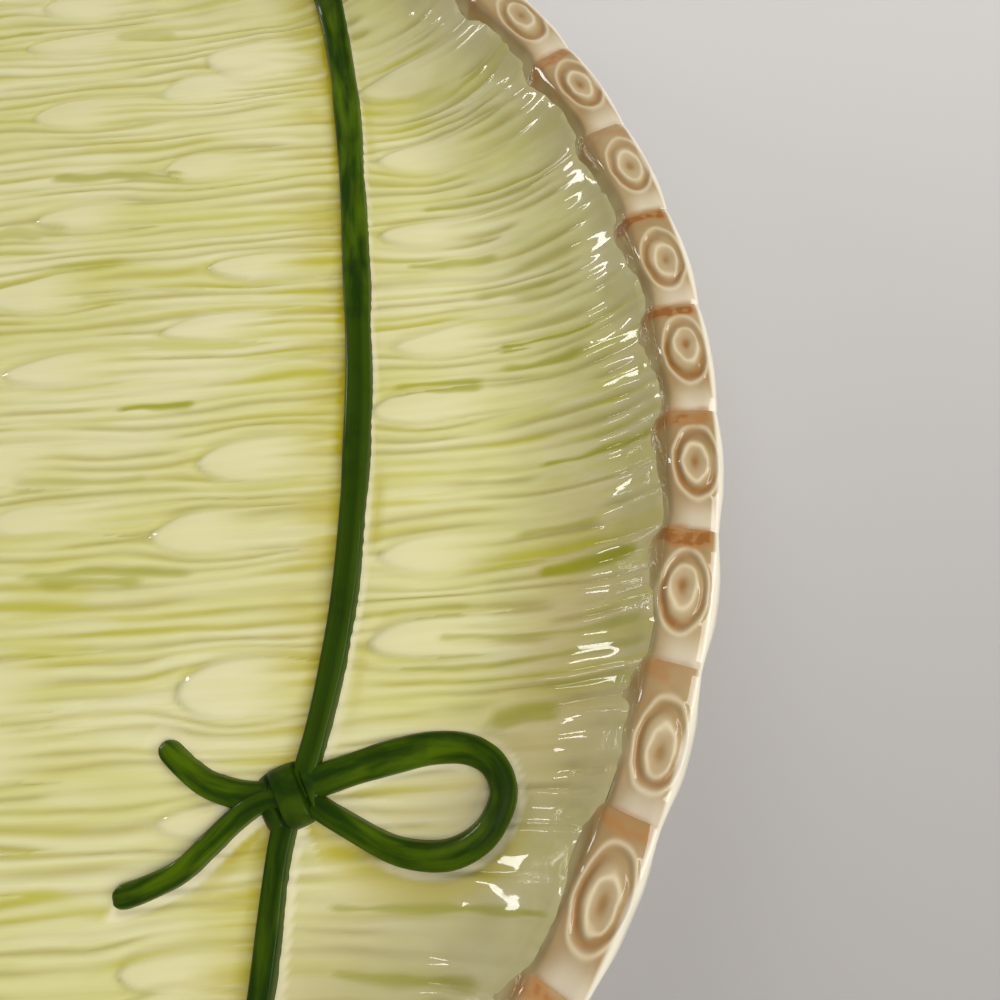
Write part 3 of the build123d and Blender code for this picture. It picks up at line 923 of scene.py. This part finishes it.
# dish and foot: turned profiles
dish = {"steps": 720, "arcSteps": 14, "middleRing": 60, "round": 1.35, "roundSteps": 6}


def addRun(bm, tip, spots):  # straight runs of a profile, in mm
    for r, z in spots:
        grown = bmesh.ops.extrude_vert_indiv(bm, verts=[tip])
        tip = grown["verts"][0]
        tip.co = (r, 0, z)
    return tip


def addArc(bm, tip, centre, angle, steps):  # curved run of a profile
    made = bmesh.ops.spin(bm, geom=[tip], cent=(centre[0], 0, centre[1]), axis=(0, 1, 0), angle=angle,
                          steps=steps)
    return [part for part in made["geom_last"] if isinstance(part, bmesh.types.BMVert)][0]


def turnProfile(bm, steps):
    bmesh.ops.spin(bm, geom=bm.verts[:] + bm.edges[:], cent=(0, 0, 0), axis=(0, 0, 1), angle=2 * math.pi,
                   steps=steps, use_merge=True)
    bmesh.ops.remove_doubles(bm, verts=bm.verts, dist=0.001)
    bmesh.ops.recalc_face_normals(bm, faces=bm.faces)


def makeDish():
    p = plate
    wall = math.radians(p["wallAngle"])
    skirt = p["wallRadius"] + p["thickness"]
    skirtEnd = (p["wellRadius"] + skirt * math.sin(wall), p["wallCentre"] - skirt * math.cos(wall))
    centre = (p["wellRadius"], p["wallCentre"])
    bm = bmesh.new()
    tip = bm.verts.new((0, 0, p["floorTop"]))
    tip = addRun(bm, tip, [(dish["middleRing"], p["floorTop"]), (p["wellRadius"], p["floorTop"])])
    tip = addArc(bm, tip, centre, -wall, dish["arcSteps"])
    lipTop = p["land"] + p["lipHeight"]
    corners = [
        (p["lipInner"], p["land"]),
        (p["lipInner"], lipTop),
        (p["radius"], lipTop),
        (p["radius"], p["land"] - p["lipDrop"]),
    ]
    marks = []
    for corner in corners:
        tip = addRun(bm, tip, [corner])
        marks.append(tip)
    tip = addRun(bm, tip, [skirtEnd])
    tip = addArc(bm, tip, centre, wall, dish["arcSteps"])
    addRun(bm, tip, [(dish["middleRing"], p["footHeight"]), (0, p["footHeight"])])
    bmesh.ops.bevel(bm, geom=marks, affect="VERTICES", offset=dish["round"], offset_type="OFFSET",
                    segments=dish["roundSteps"], profile=0.5, material=-1)
    turnProfile(bm, dish["steps"])
    piece = toPiece("dish", bm)
    x, y, z = readPoints(piece.data).T
    r, angle = np.hypot(x, y), np.arctan2(y, x)
    atLip = ease(150, 154, r) * ease(19, 23, z)
    pull = atLip * rimPull(angle)
    shrink = np.where(r > 1, (r - pull) / np.maximum(r, 1), 1)
    z = z - atLip * 0.5 * rimNotch(angle) * ease(p["land"], lipTop, z)
    shapePiece(piece, x * shrink, y * shrink, z, {})
    place(piece, "dish_body", "cream_glaze", creamGlaze)


foot = {"radius": 92.0, "width": 7.0, "into": 0.05, "round": 1.2, "roundSteps": 5, "steps": 240}


def makeFoot():
    bm = bmesh.new()
    inner, outer = foot["radius"] - foot["width"] / 2, foot["radius"] + foot["width"] / 2
    top = plate["footHeight"] + foot["into"]
    start = bm.verts.new((inner, 0, top))
    tip = addRun(bm, start, [(inner, 0), (outer, 0), (outer, top)])
    bm.edges.new((tip, start))
    low = [vert for vert in bm.verts if vert.co.z < 1]
    bmesh.ops.bevel(bm, geom=low, affect="VERTICES", offset=foot["round"], offset_type="OFFSET",
                    segments=foot["roundSteps"], profile=0.5, material=-1)
    turnProfile(bm, foot["steps"])
    piece = toPiece("foot", bm)
    x, y, z = readPoints(piece.data).T
    shapePiece(piece, x, y, z, {})
    place(piece, "foot_ring", "cream_glaze", footGlaze)


makeDish()
makeFoot()
print("dish turned")

# floor and soft light
stage = {
    "floor": srgb(156, 152, 150),
    "floorFarLit": srgb(213, 211, 209),
    "floorRough": 0.85,
    "floorHalf": 6.0,
    "floorBelow": 0.1,
    "falloffHalf": 260,
    "worldTint": srgb(246, 246, 250),
    "world": 0.16,
}


def setStage():
    bm = bmesh.new()
    bmesh.ops.create_grid(bm, x_segments=8, y_segments=8, size=stage["floorHalf"])
    bmesh.ops.translate(bm, vec=(0, 0, -stage["floorBelow"] * mm), verts=bm.verts)
    floor = toPiece("floor", bm)
    material = bpy.data.materials.new("floor paper")
    material.use_nodes = True
    shader = material.node_tree.nodes["Principled BSDF"]
    start = Sock(material.node_tree)
    # floor colour runs from darker at the front to lighter at the back: painted shading of the light falling
    # off
    along = start.node("ShaderNodeSeparateXYZ", {}, {"Vector": start.where()}, "Y")
    tone = along.span(-stage["falloffHalf"], stage["falloffHalf"]).tint(stage["floor"], stage["floorFarLit"])
    material.node_tree.links.new(tone.out, shader.inputs["Base Color"])
    shader.inputs["Roughness"].default_value = stage["floorRough"]
    floor.data.materials.append(material)
    world = bpy.data.worlds.new("room")
    world.use_nodes = True
    light = world.node_tree.nodes["Background"]
    light.inputs["Color"].default_value = stage["worldTint"]
    light.inputs["Strength"].default_value = stage["world"]
    scene.world = world


# lamps; glint says whether the glaze mirrors the lamp
lamps = {
    "overhead": {"toward": (0.6, -0.25, 1.0), "far": 1.5, "size": (1.2, 1.2), "power": 16, "glint": False},
    "front": {"toward": (-0.1, -0.9, 0.6), "far": 1.6, "size": (1.2, 1.2), "power": 6, "glint": False},
    "back": {"toward": (-0.12, 0.9, 0.5), "far": 1.6, "size": (0.8, 0.8), "power": 9, "glint": False},
    "window": {"toward": (-0.84, 0.49, 0.26), "far": 1.4, "size": (0.09, 0.42), "power": 1.7, "glint": True},
    "right": {"toward": (0.85, -0.16, 0.48), "far": 1.5, "size": (1.1, 0.3), "power": 6.5, "glint": True},
}
lampAim = (0.09, 0.0, 0.015)
lampTint = (1.0, 0.985, 0.96)


def setLamps():
    for name, lamp in lamps.items():
        data = bpy.data.lights.new(name, "AREA")
        data.shape = "RECTANGLE"
        data.size, data.size_y = lamp["size"]
        data.energy = lamp["power"]
        data.color = lampTint
        toward = Vector(lamp["toward"]).normalized()
        made = bpy.data.objects.new(name, data)
        made.visible_glossy = lamp["glint"]
        turn = toward.to_track_quat("Z", "Y").to_matrix().to_4x4()
        made.matrix_world = Matrix.Translation(Vector(lampAim) + toward * lamp["far"]) @ turn
        scene.collection.objects.link(made)


setStage()
setLamps()
scene.view_settings.view_transform = "Standard"
print("stage lit")
